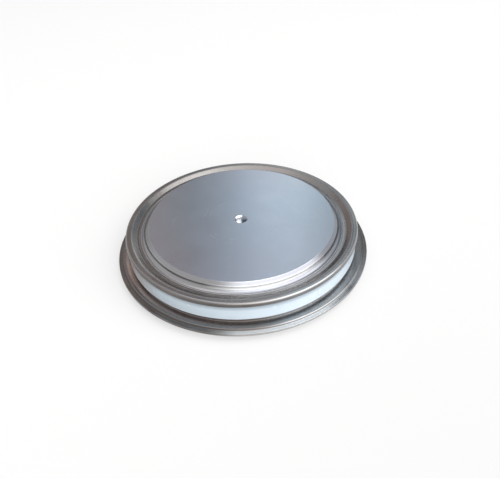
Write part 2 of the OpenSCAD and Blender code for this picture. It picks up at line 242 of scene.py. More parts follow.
axisPlaces = makeAxisPlaces()
turnedLines = makeTurnedLines()
handlingMarks = makeHandlingMarks()
platingTone = makePlatingTone()
softBand = makeSoftBand()


def bandAt(tree, value, middle, half, soft):
    return useGroup(tree, softBand, {"Value": value, "Middle": middle, "Half": half, "Soft": soft})["Mask"]


stretchPlan = {  # middle, half and softness in turns
    "RightFront": (-0.125, 0.05, 0.06), "Wide": (-0.085, 0.09, 0.07), "FrontStretch": (-0.20, 0.055, 0.05),
    "FrontLeft": (-0.36, 0.07, 0.065), "LeftStretch": (-0.43, 0.03, 0.04),
}


# Stretches of the capsule by angle, which carry painted light, painted shade and other tones: right front, a
# wider stretch to the right, front, front left and left
def makeStretches():
    outputs = [(label, "Float") for label in stretchPlan]
    tree, given, out = newTree("ShaderNodeTree", "stretches", [("Turn", "Float", 0.0)], outputs)
    for label, band in stretchPlan.items():
        tree.links.new(bandAt(tree, given["Turn"], *band), out[label])
    return tree


stretches = makeStretches()
print("shader groups built")


def newMaterial(name, **plain):
    material = bpy.data.materials.new(name)
    material.use_nodes = True
    tree = material.node_tree
    tree.nodes.clear()
    shader = put(tree, "BsdfPrincipled")
    put(tree, "OutputMaterial", {"Surface": shader.outputs[0]})
    for key, value in plain.items():
        shader.inputs[key].default_value = value
    place = put(tree, "TexCoord").outputs["Object"]
    return material, tree, shader, place


# Each bump is (distance in metres, strength)
def wireShader(tree, shader, color, roughness, height, bump, normal=None):
    distance, strength = bump
    relief = put(tree, "Bump", {"Height": height, "Distance": distance, "Strength": strength})
    if normal is not None:
        wireUp(tree, relief, {"Normal": normal})
    wireUp(tree, shader, {"Base Color": color, "Roughness": roughness, "Normal": relief.outputs[0]})


def useTone(tree, place, look):
    return useGroup(tree, platingTone, {
        "Place": place, "Cool": look["cool"], "Warm": look["warm"],
        "Lean": look["lean"], "Speckle": look["speckle"],
    })["Color"]


def useMarks(tree, place, look):
    wires = {"Place": place, "Scratches": look["scratches"], "Rubs": look["rubs"]}
    marks = useGroup(tree, handlingMarks, wires)
    return marks["Scratch"], marks["Rub"]


def useLines(tree, place, along, look):
    wires = {"Place": place, "Along": along, "Lines": look["lines"], "Fade": look["fade"]}
    return useGroup(tree, turnedLines, wires)["Lines"]


poleLook = {  # heights and radii in millimetres, bands as (middle, half width, softness)
    "cool": (0.37, 0.43, 0.485, 1), "warm": (0.40, 0.39, 0.425, 1), "lean": 0.45, "speckle": 0.16,
    "scratched": (0.62, 0.64, 0.66, 1), "scratches": 0.16, "scratchShare": 0.35, "scratchDepth": 0.3,
    "rubbed": (0.50, 0.50, 0.50, 1), "rubs": 0.3, "rubShare": 0.12, "lines": 7.0, "fade": 0.6,
    "faceTop": 13.97, "faceFoot": 0.03, "sideShade": (0.68, 0.68, 0.69, 1), "sideWarm": (0.75, 0.69, 0.64, 1),
    "paleEdge": (31.52, 0.04, 0.09), "paleTone": (0.60, 0.61, 0.63, 1), "paleShare": 0.45,
    "palePatch": 300.0, "paleRange": (0.35, 0.6),
    "boreRadius": 2.4, "boreLightTurn": (0.20, 0.33), "boreLight": (0.78, 0.80, 0.83, 1), "boreLightRough": 0.40,
    "wall": (12.55, 0.42, 0.25), "polished": (0.86, 0.88, 0.90, 1), "highlightRough": 0.5,
    "edgeRound": 0.4, "edgeSamples": 6, "liftedTone": (0.62, 0.60, 0.58, 1), "liftedShare": 0.4,
    "bevel": (13.5, 0.4, 0.1), "bevelTurn": (0.41, 0.46), "dull": (0.195, 0.19, 0.188, 1),
    "faceRough": 0.235, "sideRough": 0.25, "rubRough": (0.015, -0.025), "lineRough": (-0.03, 0.03),
    "satin": {"scale": 5200.0, "detail": 2.0, "rough": 0.7}, "satinDepth": 0.25, "lineDepth": 0.6,
    "faceGrain": 0.3, "bump": (0.000012, 0.6),
}


# Nickel plate on copper: lapped flat on the contact faces, turned on the bevel and the cove, with a painted
# highlight and a rougher, rounded finish on one stretch of the wall, and painted light on one side of the
# centring hole
def makePolePlate():
    look = poleLook
    material, tree, shader, place = newMaterial("polePlate", Metallic=1.0)
    axis = useGroup(tree, axisPlaces, {"Place": place})
    scratch, rub = useMarks(tree, place, look)
    lines = useLines(tree, place, axis["Radius"], look)
    stretch = useGroup(tree, stretches, {"Turn": axis["Turn"]})
    away = calc(tree, "ABSOLUTE", axis["Turn"])
    onFace = calc(tree, "MAXIMUM", calc(tree, "GREATER_THAN", axis["Height"], look["faceTop"]),
                  calc(tree, "LESS_THAN", axis["Height"], look["faceFoot"]))
    inBore = calc(tree, "LESS_THAN", axis["Radius"], look["boreRadius"])
    boreLight = times(tree, inBore, inverse(tree, onFace), spread(tree, away, *look["boreLightTurn"]))
    palePatch = spread(tree, noise(tree, place, look["palePatch"]), *look["paleRange"])
    paleEdge = bandAt(tree, axis["Radius"], *look["paleEdge"])
    wall = bandAt(tree, axis["Height"], *look["wall"])
    polished = times(tree, wall, stretch["FrontStretch"])
    bevel = bandAt(tree, axis["Height"], *look["bevel"])

    color = lay(tree, useTone(tree, place, look), look["scratched"], scratch, look["scratchShare"])
    color = lay(tree, color, look["rubbed"], rub, look["rubShare"])
    # Painted shade on the pole's sides off the face, turned warm as a painted reflection over the front-left
    # stretch
    side = blendColor(tree, stretch["FrontLeft"], look["sideShade"], look["sideWarm"])
    color = tint(tree, color, blendColor(tree, onFace, side, white))
    # Lighter in patches along the face's edge over the front stretch
    color = lay(tree, color, look["paleTone"], paleEdge, stretch["FrontStretch"], palePatch, look["paleShare"])
    # Painted light on one side of the centring hole, with a rougher finish there
    color = lay(tree, color, look["boreLight"], boreLight)
    # Painted highlight on the wall over the front stretch
    color = lay(tree, color, look["polished"], polished)
    # Painted light on the wall over the left stretch
    color = lay(tree, color, look["liftedTone"], wall, stretch["LeftStretch"], look["liftedShare"])
    # Darker on the bevel at the left
    color = lay(tree, color, look["dull"], bevel, spread(tree, away, *look["bevelTurn"]))

    rough = blend(tree, onFace, look["sideRough"], look["faceRough"])
    rough = calc(tree, "ADD", rough, spread(tree, rub, 0.0, look["rubs"], *look["rubRough"]))
    rough = calc(tree, "ADD", rough, spread(tree, lines, *usual, *look["lineRough"]))
    rough = blend(tree, boreLight, rough, look["boreLightRough"])
    rough = blend(tree, polished, rough, look["highlightRough"])

    satin = noise(tree, place, **look["satin"])
    height = calc(tree, "ADD", times(tree, lines, look["lineDepth"]), times(tree, satin, look["satinDepth"]))
    height = times(tree, height, blend(tree, onFace, 1.0, look["faceGrain"]))
    height = calc(tree, "SUBTRACT", height, times(tree, scratch, look["scratchDepth"]))
    plain = put(tree, "NewGeometry").outputs["Normal"]
    rounded = put(tree, "Bevel", {"Radius": look["edgeRound"] * mm}, samples=look["edgeSamples"]).outputs[0]
    wireShader(tree, shader, color, rough, height, look["bump"], blendVector(tree, polished, plain, rounded))
    return material


sheetLook = {  # rings as (radius, half width, softness) in millimetres
    "cool": (0.205, 0.215, 0.222, 1), "warm": (0.222, 0.198, 0.187, 1), "lean": 0.5, "speckle": 0.14,
    "scratched": (0.5, 0.49, 0.47, 1), "scratches": 0.4, "scratchShare": 0.3, "scratchDepth": 0.4,
    "rubs": 0.6, "lines": 9.0, "fade": 0.5, "patch": 130.0, "patchShare": (0.3, 0.8), "capFrom": 8.0,
    "burntAndShade": (0.095, 0.078, 0.068, 1), "litTone": (0.42, 0.44, 0.46, 1), "litShare": 0.55,
    "shoulderShare": 0.6, "liftedTone": (0.37, 0.35, 0.325, 1), "slopeShare": 0.6,
    "apronTone": (0.44, 0.34, 0.32, 1), "apronShare": 0.55, "paleTone": (0.56, 0.515, 0.475, 1), "flatShare": 0.5,
    "dark": (0.06, 0.05, 0.045, 1), "stepShare": 0.8, "channelShade": (0.085, 0.08, 0.08, 1), "channelShadeShare": 0.45,
    "bright": (0.76, 0.76, 0.76, 1), "rimHighlightShare": 0.75,
    "rings": {
        "channel": (34.85, 0.4, 0.35), "slope": (36.7, 0.8, 0.5), "shoulder": (38.8, 0.5, 0.3),
        "capSide": (39.45, 0.1, 0.18), "apron": (39.4, 0.8, 0.4), "flat": (40.1, 0.25, 0.35),
        "step": (41.6, 0.12, 0.25), "rimTop": (42.4, 0.45, 0.35), "rim": (42.75, 0.5, 0.7),
    },
    "rough": (0.23, 0.35), "lineRough": (-0.03, 0.03), "burntAndShadeRough": 0.05, "bump": (0.000012, 0.7),
}


# Nickel-iron sheet, plated after forming: heat-tinted brown with painted shade beside the weld, painted shade
# on the step, down the cap's side and in the channel beside the pole, and painted light, highlights and
# lighter tones by stretches
def makeSheetPlate():
    look = sheetLook
    material, tree, shader, place = newMaterial("sheetPlate", Metallic=1.0)
    axis = useGroup(tree, axisPlaces, {"Place": place})
    scratch, rub = useMarks(tree, place, look)
    lines = useLines(tree, place, calc(tree, "ADD", axis["Radius"], axis["Height"]), look)
    stretch = useGroup(tree, stretches, {"Turn": axis["Turn"]})
    ring = {name: bandAt(tree, axis["Radius"], *band) for name, band in look["rings"].items()}
    patch = spread(tree, noise(tree, place, look["patch"]), *usual, *look["patchShare"])
    onCap = calc(tree, "GREATER_THAN", axis["Height"], look["capFrom"])
    onFlange = inverse(tree, onCap)
    offWide = inverse(tree, stretch["Wide"])
    offRightFront = inverse(tree, stretch["RightFront"])
    capSideShade = times(tree, ring["capSide"], onCap, offWide)
    burntAndShade = calc(tree, "MAXIMUM", times(tree, ring["rim"], offRightFront), capSideShade)
    litFlange = times(tree, stretch["RightFront"], onFlange, patch)
    litChannel = times(tree, stretch["Wide"], ring["channel"], look["litShare"], onCap)
    polished = times(tree, stretch["FrontStretch"], stretch["FrontStretch"])

    # Heat-tinted brown with painted shade on the weld rim, and painted shade down the cap's side
    color = lay(tree, useTone(tree, place, look), look["burntAndShade"], burntAndShade, patch)
    # Painted light on the flange at the right front and in the channel to the right
    color = lay(tree, color, look["litTone"], calc(tree, "MAXIMUM", litFlange, litChannel))
    # Painted highlight on the cap's shoulder to the right
    color = lay(tree, color, look["litTone"], stretch["Wide"], ring["shoulder"], onCap, look["shoulderShare"])
    # Lighter on the cap's slope over the front-left stretch
    color = lay(tree, color, look["liftedTone"], stretch["FrontLeft"], ring["slope"], onCap, look["slopeShare"])
    # Lighter and warmer on the flange's apron over the front-left stretch
    color = lay(tree, color, look["apronTone"], stretch["FrontLeft"], ring["apron"], onFlange, look["apronShare"])
    # Lighter and warmer on the flange's flat over the left stretch
    color = lay(tree, color, look["paleTone"], stretch["LeftStretch"], ring["flat"], onFlange, look["flatShare"])
    # Painted shade on the weld flange's step
    color = lay(tree, color, look["dark"], ring["step"], offRightFront, look["stepShare"])
    # Painted shade in the channel beside the pole, away from the right
    color = lay(tree, color, look["channelShade"], ring["channel"], offWide, look["channelShadeShare"])
    # Painted highlight on the weld rim's top at the front
    color = lay(tree, color, look["bright"], ring["rimTop"], polished, onFlange, look["rimHighlightShare"])
    color = lay(tree, color, look["scratched"], scratch, look["scratchShare"])

    rough = calc(tree, "ADD", spread(tree, rub, 0.0, look["rubs"], *look["rough"]),
                 spread(tree, lines, *usual, *look["lineRough"]))
    rough = calc(tree, "ADD", rough, times(tree, burntAndShade, look["burntAndShadeRough"]))
    height = calc(tree, "SUBTRACT", lines, times(tree, scratch, look["scratchDepth"]))
    wireShader(tree, shader, color, rough, height, look["bump"])
    return material


aluminaLook = {  # heights in millimetres
    "white": (0.755, 0.865, 0.95, 1), "grey": (0.69, 0.80, 0.895, 1),
    "cloud": {"scale": 85.0, "detail": 4.0, "rough": 0.55}, "cloudRange": (0.35, 0.75),
    "greyShare": (0.0, 0.6), "speck": (0.38, 0.36, 0.33, 1),
    "specks": {"scale": 1500.0, "detail": 1.0, "rough": 0.3}, "speckRange": (0.78, 0.82),
    "speckShare": (0.0, 0.5),
    "leftShade": (0.84, 0.75, 0.70, 1), "shade": (0.60, 0.61, 0.64, 1), "shadeRise": (9.0, 10.4),
    "glaze": 260.0, "rough": (0.17, 0.30), "ripple": {"scale": 420.0, "detail": 2.0},
    "grain": {"scale": 3200.0, "detail": 2.0}, "grainDepth": 0.15, "bump": (0.00002, 0.4), "ior": 1.6,
}


# Glazed alumina: faint clouds, a few dark specks and the soft ripple of the glaze, with painted shade on one
# stretch to the left, and painted shade just under the cap's rim
def makeAlumina():
    look = aluminaLook
    material, tree, shader, place = newMaterial("glazedAlumina", Metallic=0.0, IOR=look["ior"])
    axis = useGroup(tree, axisPlaces, {"Place": place})
    cloud = spread(tree, noise(tree, place, **look["cloud"]), *look["cloudRange"], *look["greyShare"])
    specks = spread(tree, noise(tree, place, **look["specks"]), *look["speckRange"], *look["speckShare"])
    color = lay(tree, blendColor(tree, cloud, look["white"], look["grey"]), look["speck"], specks)
    # Painted shade, brownish, over the left stretch
    color = tint(tree, color, look["leftShade"], useGroup(tree, stretches, {"Turn": axis["Turn"]})["LeftStretch"])
    color = tint(tree, color, look["shade"], spread(tree, axis["Height"], *look["shadeRise"]))
    rough = spread(tree, noise(tree, place, look["glaze"]), *usual, *look["rough"])
    grain = times(tree, noise(tree, place, **look["grain"]), look["grainDepth"])
    height = calc(tree, "ADD", noise(tree, place, **look["ripple"]), grain)
    wireShader(tree, shader, color, rough, height, look["bump"])
    return material


brazeLooks = {
    "poleBraze": {"light": (0.20, 0.195, 0.19, 1), "dark": (0.13, 0.122, 0.118, 1),
                  "inner": (0.36, 0.355, 0.35, 1)},
    # Lighter tones under the ceramic's foot, partly painted light in the crevice
    "footBraze": {"light": (0.30, 0.305, 0.31, 1), "dark": (0.20, 0.20, 0.20, 1)},
    "paintedLight": sheetLook["litTone"], "paintedLightShare": sheetLook["litShare"], "innerEnd": (34.35, 34.6),
    "pits": {"scale": 1900.0, "detail": 3.0, "rough": 0.6}, "pitRough": (-0.03, 0.05), "pitDepth": 0.3,
    "run": {"scale": 240.0, "detail": 3.0, "rough": 0.6}, "rough": (0.34, 0.46), "bump": (0.00003, 0.6),
}


# Braze metal under the plating: dull, with a pitted skin, lighter where it wets the pole, and painted light
# over the wide stretch to the right
def makeBraze(name):
    look = brazeLooks
    tones = look[name]
    material, tree, shader, place = newMaterial(name, Metallic=1.0)
    axis = useGroup(tree, axisPlaces, {"Place": place})
    paintedLight = useGroup(tree, stretches, {"Turn": axis["Turn"]})["Wide"]
    pits = noise(tree, place, **look["pits"])
    run = noise(tree, place, **look["run"])
    color = blendColor(tree, spread(tree, run, *usual), tones["light"], tones["dark"])
    # Painted light over the wide stretch to the right
    color = lay(tree, color, look["paintedLight"], paintedLight, look["paintedLightShare"])
    if "inner" in tones:
        color = lay(tree, color, tones["inner"], spread(tree, axis["Radius"], *look["innerEnd"], 1.0, 0.0))
    rough = calc(tree, "ADD", spread(tree, run, *usual, *look["rough"]),
                 spread(tree, pits, *usual, *look["pitRough"]))
    height = calc(tree, "ADD", times(tree, pits, look["pitDepth"]), run)
    wireShader(tree, shader, color, rough, height, look["bump"])
    return material


weldLook = {
    "bright": (0.44, 0.44, 0.44, 1), "tinted": (0.24, 0.21, 0.19, 1), "tintRange": (0.4, 0.7),
    "run": {"scale": 700.0, "detail": 3.0, "rough": 0.6}, "grain": {"scale": 3500.0, "detail": 2.0},
    "rough": (0.26, 0.40), "bump": (0.00001, 0.5),
}


# Weld metal: bright where it froze, with brown heat tint between the ripples
def makeWeldMetal():
    look = weldLook
    material, tree, shader, place = newMaterial("weldMetal", Metallic=1.0)
    run = noise(tree, place, **look["run"])
    color = blendColor(tree, spread(tree, run, *look["tintRange"]), look["bright"], look["tinted"])
    rough = spread(tree, run, *usual, *look["rough"])
    wireShader(tree, shader, color, rough, noise(tree, place, **look["grain"]), look["bump"])
    return material


innerMetals = {  # by material slot
    "silver": {"name": "rolledSilver", "light": (0.86, 0.86, 0.87, 1), "dark": (0.74, 0.74, 0.76, 1),
               "rough": (0.22, 0.36), "grain": 900.0, "stretch": (1, 1, 1)},
    "molybdenum": {"name": "groundMolybdenum", "light": (0.47, 0.48, 0.50, 1), "dark": (0.38, 0.39, 0.41, 1),
                   "rough": (0.32, 0.46), "grain": 1400.0, "stretch": (1, 6, 1)},
    "spring_steel": {"name": "drawnSteel", "light": (0.66, 0.70, 0.74, 1), "dark": (0.52, 0.56, 0.60, 1),
                     "rough": (0.18, 0.32), "grain": 2600.0, "stretch": (1, 1, 5)},
}
innerSkin = {
    "fine": {"detail": 4.0, "rough": 0.6}, "scratches": 0.4, "rubs": 0.5, "scratchShare": 0.3,
    "metalBump": (0.00001, 0.6), "cloud": {"scale": 160.0, "detail": 2.0}, "strength": 0.6,
}


# A metal of the inside: two near tones along its own grain, with scratches
def makeInnerMetal(look):
    material, tree, shader, place = newMaterial(look["name"], Metallic=1.0)
    along = put(tree, "Mapping", {"Vector": place, "Scale": look["stretch"]}).outputs[0]
    fine = noise(tree, along, look["grain"], **innerSkin["fine"])
    scratch, rub = useMarks(tree, place, innerSkin)
    color = blendColor(tree, spread(tree, fine, *usual), look["light"], look["dark"])
    color = lay(tree, color, look["light"], scratch, innerSkin["scratchShare"])
    rough = spread(tree, fine, *usual, *look["rough"])
    wireShader(tree, shader, color, rough, calc(tree, "SUBTRACT", fine, scratch), innerSkin["metalBump"])
    return material


innerPlains = {  # by material slot
    "silicon": {"name": "etchedSilicon", "light": (0.10, 0.11, 0.14, 1), "dark": (0.07, 0.08, 0.11, 1),
                "rough": (0.07, 0.19), "grain": 700.0, "depth": 0.000003, "ior": 3.4},
    "silicone_rubber": {"name": "sealRubber", "light": (0.52, 0.10, 0.06, 1), "dark": (0.42, 0.08, 0.05, 1),
                        "rough": (0.50, 0.62), "grain": 1500.0, "depth": 0.00001, "ior": 1.42},
    "white_plastic": {"name": "whitePlastic", "light": (0.80, 0.80, 0.76, 1), "dark": (0.74, 0.74, 0.69, 1),
                      "rough": (0.45, 0.57), "grain": 1800.0, "depth": 0.00001, "ior": 1.38},
}


# Silicon, rubber or plastic: two near tones in clouds, with a fine grain
def makeInnerPlain(look):
    material, tree, shader, place = newMaterial(look["name"], Metallic=0.0, IOR=look["ior"])
    fine = noise(tree, place, look["grain"], **innerSkin["fine"])
    cloud = noise(tree, place, **innerSkin["cloud"])
    color = blendColor(tree, spread(tree, cloud, *usual), look["light"], look["dark"])
    rough = spread(tree, fine, *usual, *look["rough"])
    wireShader(tree, shader, color, rough, fine, (look["depth"], innerSkin["strength"]))
    return material


finishes = {"plated_copper": makePolePlate(), "plated_sheet": makeSheetPlate(), "alumina": makeAlumina()}
finishes.update({slot: makeInnerMetal(look) for slot, look in innerMetals.items()})
finishes.update({slot: makeInnerPlain(look) for slot, look in innerPlains.items()})
slotOf = {row["node"]: row["material_slot"] for row in frame["record"]["subparts"]}
for name, node in nodes.items():
    node.data.materials.clear()
    node.data.materials.append(finishes[slotOf[name]])
print("finishes on", len(nodes), "nodes")


caseSizes = {  # millimetres
    "sheetInner": 34.5, "rampIn": 35.75, "ceramicInner": 36.3, "rampOut": 37.38, "neck": 38.3,
    "capRim": 39.45, "stepAt": 41.5, "rim": 43.0,
    "crestTop": 12.4, "borderTop": 11.4, "rimFoot": 11.0, "ceramicFoot": 5.35, "flatTop": 4.1, "lidTop": 3.0,
    "capSheet": 0.4, "weldSheet": 0.5, "brazeInset": 0.1, "stepRun": 0.3, "edgeRound": 0.09,
    "rampFootRound": 0.6, "rampCrestRound": 0.9, "shoulderRound": 0.65, "neckBend": 0.4, "stepBend": 0.35,
    "straight": 0.05,  # beside each bend, so that the flats stay flat under smooth shading
    "start": 10.0,  # radius of the circle that carries the section
    "bendSteps": 8, "edgeSteps": 4, "segments": 288,
}
leastTurn = 1e-6  # radians, below which there is no bend


# The point beside a spot, to the left of the path
def pointBeside(spot, direction, shift):
    return spot + shift * Vector((-direction.y, direction.x))


# Points of the bend at b, between a and c, on a line that runs shift to the left of the path
def bendPoints(a, b, c, radius, shift, steps):
    u = (b - a).normalized()
    v = (c - b).normalized()
    turn = math.atan2(u.x * v.y - u.y * v.x, u.dot(v))
    if abs(turn) < leastTurn:
        return [pointBeside(b, u, shift)]
    side = 1 if turn > 0 else -1
    centre = b + (v - u).normalized() * radius / math.cos(turn / 2)
    first = math.atan2(u.x, -u.y)
    angles = [first + turn * i / steps for i in range(steps + 1)]
    reach = side * (radius - side * shift)
    spots = [centre - reach * Vector((math.cos(angle), math.sin(angle))) for angle in angles]
    straight = caseSizes["straight"]
    return [spots[0] - straight * u] + spots + [spots[-1] + straight * v]


# Closed section of a bent sheet. Each point of the path is (radius, height, bend radius).
def sheetSection(path, thick):
    size = caseSizes
    spots = [Vector(p[:2]) for p in path]
    ahead = (spots[1] - spots[0]).normalized()
    last = (spots[-1] - spots[-2]).normalized()
    sides = []
    for shift in (thick / 2, -thick / 2):
        line = [pointBeside(spots[0], ahead, shift)]
        for i in range(1, len(path) - 1):
            line += bendPoints(*spots[i - 1:i + 2], path[i][2], shift, size["bendSteps"])
        line.append(pointBeside(spots[-1], last, shift))
        sides.append(line)
    loop = sides[0] + sides[1][::-1]
    corners = (0, len(sides[0]) - 1, len(sides[0]), len(loop) - 1)
    section = []
    for i, spot in enumerate(loop):
        if i in corners:
            following = loop[(i + 1) % len(loop)]
            section += bendPoints(loop[i - 1], spot, following, size["edgeRound"], 0, size["edgeSteps"])
        else:
            section.append(spot)
    return section


# Turns a section about the axis, with a slow wave in its height for what ran and froze
def makeRevolveTree():
    tree, given, out = newTree(
        "GeometryNodeTree", "revolveSection",
        [("Section", "Geometry", None), ("Segments", "Int", 240), ("Start Radius", "Float", 0.01),
         ("Waviness", "Float", 0.0), ("Wave Scale", "Float", 40.0), ("Seed", "Float", 3.0),
         ("Finish", "Material", None)],
        [("Ring", "Geometry")])
    section = put(tree, "MeshToCurve", {"Mesh": given["Section"]}).outputs[0]
    circle = put(tree, "CurvePrimitiveCircle",
                 {"Resolution": given["Segments"], "Radius": given["Start Radius"]}).outputs[0]
    ring = put(tree, "CurveToMesh", {"Curve": circle, "Profile Curve": section}).outputs[0]
    where = put(tree, "InputPosition").outputs[0]
    wave = noise(tree, where, given["Wave Scale"], detail=1.0, dims="4D", w=given["Seed"])
    lift = times(tree, calc(tree, "SUBTRACT", wave, 0.5), given["Waviness"])
    offset = put(tree, "ShaderNodeCombineXYZ", {2: lift}).outputs[0]
    ring = put(tree, "SetPosition", {"Geometry": ring, "Offset": offset}).outputs[0]
    ring = put(tree, "SetShadeSmooth", {"Geometry": ring}).outputs[0]
    ring = put(tree, "RealizeInstances", {"Geometry": ring}).outputs[0]
    ring = put(tree, "SetMaterial", {"Geometry": ring, "Material": given["Finish"]}).outputs[0]
    tree.links.new(ring, out["Ring"])
    return tree


revolveTree = makeRevolveTree()


# Runs a tree on a carrier and keeps the result as a plain mesh
def evaluateTree(name, mesh, tree, values):
    carrier = bpy.data.objects.new(name + "_plan", mesh)
    scene.collection.objects.link(carrier)
    maker = carrier.modifiers.new("make", "NODES")
    maker.node_group = tree
    sockets = {item.name: item.identifier for item in tree.interface.items_tree if item.in_out == "INPUT"}
    for label, value in values.items():
        maker[sockets[label]] = value
    graph = bpy.context.evaluated_depsgraph_get()
    made = bpy.data.meshes.new_from_object(carrier.evaluated_get(graph))
    made.name = name
    for slot in reversed([i for i, material in enumerate(made.materials) if material is None]):
        made.materials.pop(index=slot)
    carrier.modifiers.remove(maker)
    bpy.data.objects.remove(carrier)
    piece = bpy.data.objects.new(name, made)
    scene.collection.objects.link(piece)
    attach(piece, "root")
    return piece


def revolve(name, section, material, waviness=0.0, waveScale=40.0, seed=3.0):
    start = caseSizes["start"]
    flat = [((p.x - start) * mm, -p.y * mm, 0) for p in section]
    mesh = bpy.data.meshes.new(name + "_section")
    mesh.from_pydata(flat, [(i, (i + 1) % len(flat)) for i in range(len(flat))], [])
    return evaluateTree(name, mesh, revolveTree, {
        "Segments": caseSizes["segments"], "Start Radius": start * mm, "Waviness": waviness * mm,
        "Wave Scale": waveScale, "Seed": seed, "Finish": material,
    })


# Cathode sheet: border, slope up over the ceramic's wall, crest, shoulder and turned-down rim
def makeCapSheet():
    size = caseSizes
    border = size["borderTop"] - size["capSheet"] / 2
    crest = size["crestTop"] - size["capSheet"] / 2
    side = size["capRim"] - size["capSheet"] / 2
    path = [
        (size["sheetInner"], border, 0), (size["rampIn"], border, size["rampFootRound"]),
        (size["rampOut"], crest, size["rampCrestRound"]), (side, crest, size["shoulderRound"]),
        (side, size["rimFoot"], 0),
    ]
    piece = revolve("cap_sheet", sheetSection(path, size["capSheet"]), finishes["plated_sheet"])
    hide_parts("cathode_flange")


# Weld flange: foot under the ceramic, neck, flat, step and weld rim
def makeWeldSheet():
    size = caseSizes
    half = size["weldSheet"] / 2
    foot = size["ceramicFoot"] - half
    neck = size["neck"] - half
    flat = size["flatTop"] - half
    rim = size["lidTop"] + half
    path = [
        (size["ceramicInner"] + size["brazeInset"], foot, 0), (neck, foot, size["neckBend"]),
        (neck, flat, size["neckBend"]), (size["stepAt"] - size["stepRun"] / 2, flat, size["stepBend"]),
        (size["stepAt"] + size["stepRun"] / 2, rim, size["stepBend"]), (size["rim"], rim, 0),
    ]
    piece = revolve("weld_sheet", sheetSection(path, size["weldSheet"]), finishes["plated_sheet"])
    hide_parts("weld_flange")


makeCapSheet()
makeWeldSheet()
print("sheets revolved")


filletPlan = {  # sections as (radius, height) in millimetres, clockwise
    "poleRun": [
        (34.15, 11.34), (34.22, 11.28), (34.32, 11.235), (34.42, 11.25), (34.50, 11.32), (34.58, 11.395),
        (34.72, 11.425), (34.95, 11.432), (35.14, 11.422), (35.28, 11.39), (34.60, 11.34), (34.45, 11.02),
        (34.15, 11.02),
    ],
    "ringFoot": [
        (37.50, 5.34), (38.42, 5.352), (38.33, 5.27), (38.28, 5.12), (38.27, 4.95), (38.26, 4.85),
        (37.90, 5.05),
    ],
    "height": 14.0, "waviness": 0.03, "waveScale": 260.0, "capSeed": 5.0, "lidSeed": 8.0, "footSeed": 11.0,
}


# Braze that ran out beside each pole, and under the foot of the ceramic ring
def makeFillets():
    plan = filletPlan
    cap = [Vector(p) for p in plan["poleRun"]]
    lid = [Vector((p.x, plan["height"] - p.y)) for p in reversed(cap)]
    foot = [Vector(p) for p in plan["ringFoot"]]
    poleBraze = makeBraze("poleBraze")
    rows = (("cap_braze", cap, poleBraze, plan["capSeed"]), ("lid_braze", lid, poleBraze, plan["lidSeed"]),
            ("foot_braze", foot, makeBraze("footBraze"), plan["footSeed"]))
    for name, section, material, seed in rows:
        revolve(name, section, material, plan["waviness"], plan["waveScale"], seed)


beadPlan = {  # millimetres
    "radius": 42.88, "height": 3.0, "count": 960, "long": 0.22, "thick": 0.095, "vary": 0.12, "seed": 4,
    "rippleSegments": 6, "rippleRings": 5,
}


# Ripples of the rim weld: one small overlapping scale after another round the seam
def makeBeadTree():
    tree, given, out = newTree(
        "GeometryNodeTree", "weldRipples",
        [("Carrier", "Geometry", None), ("Count", "Int", 960), ("Radius", "Float", 0.04),
         ("Height", "Float", 0.0), ("Ripple Size", "Vector", None), ("Segments", "Int", 6),
         ("Rings", "Int", 5), ("Vary", "Float", 0.1), ("Seed", "Int", 0), ("Finish", "Material", None)],
        [("Bead", "Geometry")])
    circle = put(tree, "CurvePrimitiveCircle",
                 {"Resolution": given["Count"], "Radius": given["Radius"]}).outputs[0]
    points = put(tree, "CurveToPoints", {"Curve": circle, "Count": given["Count"]}, mode="COUNT").outputs
    ripple = put(tree, "MeshUVSphere",
                 {"Segments": given["Segments"], "Rings": given["Rings"], "Radius": 1.0}).outputs[0]
    ripple = put(tree, "Transform", {"Geometry": ripple, "Scale": given["Ripple Size"]}).outputs[0]
    least = inverse(tree, given["Vary"])
    size = put(tree, "FunctionNodeRandomValue", {2: least, 3: 1.0, 8: given["Seed"]},
               data_type="FLOAT").outputs[1]
    bead = put(tree, "InstanceOnPoints", {"Points": points["Points"], "Instance": ripple,
                                          "Rotation": points["Rotation"], "Scale": size}).outputs[0]
    lift = put(tree, "ShaderNodeCombineXYZ", {2: given["Height"]}).outputs[0]
    bead = put(tree, "TranslateInstances",
               {"Instances": bead, "Translation": lift, "Local Space": False}).outputs[0]
    bead = put(tree, "RealizeInstances", {"Geometry": bead}).outputs[0]
    bead = put(tree, "SetShadeSmooth", {"Geometry": bead}).outputs[0]
    bead = put(tree, "SetMaterial", {"Geometry": bead, "Material": given["Finish"]}).outputs[0]
    tree.links.new(bead, out["Bead"])
    return tree


def makeBead():
    plan = beadPlan
    evaluateTree("rim_bead", bpy.data.meshes.new("rim_bead_plan"), makeBeadTree(), {
        "Count": plan["count"], "Radius": plan["radius"] * mm, "Height": plan["height"] * mm,
        "Ripple Size": (plan["thick"] * mm, plan["thick"] * mm, plan["long"] * mm),
        "Segments": plan["rippleSegments"], "Rings": plan["rippleRings"],
        "Vary": plan["vary"], "Seed": plan["seed"], "Finish": makeWeldMetal(),
    })


makeFillets()
makeBead()
print("braze fillets and rim weld made")


studio = {"floorSize": 4.0, "ambient": 0.36, "floorColor": (0.36, 0.36, 0.36, 1), "floorLift": 0.56}


# 1 for the rays that see the background, 0 for those that light the capsule
def seenRays(tree):
    path = put(tree, "LightPath").outputs
    seen = calc(tree, "MAXIMUM", path["Is Camera Ray"], path["Is Glossy Ray"])
    return calc(tree, "MAXIMUM", seen, path["Is Transmission Ray"])


def makeWorld():
    world = bpy.data.worlds.new("paleStudio")
    scene.world = world
    world.use_nodes = True
    tree = world.node_tree
    tree.nodes.clear()
    level = blend(tree, seenRays(tree), studio["ambient"], 1.0)
    light = put(tree, "Background", {"Color": white, "Strength": level})
    put(tree, "OutputWorld", {"Surface": light.outputs[0]})


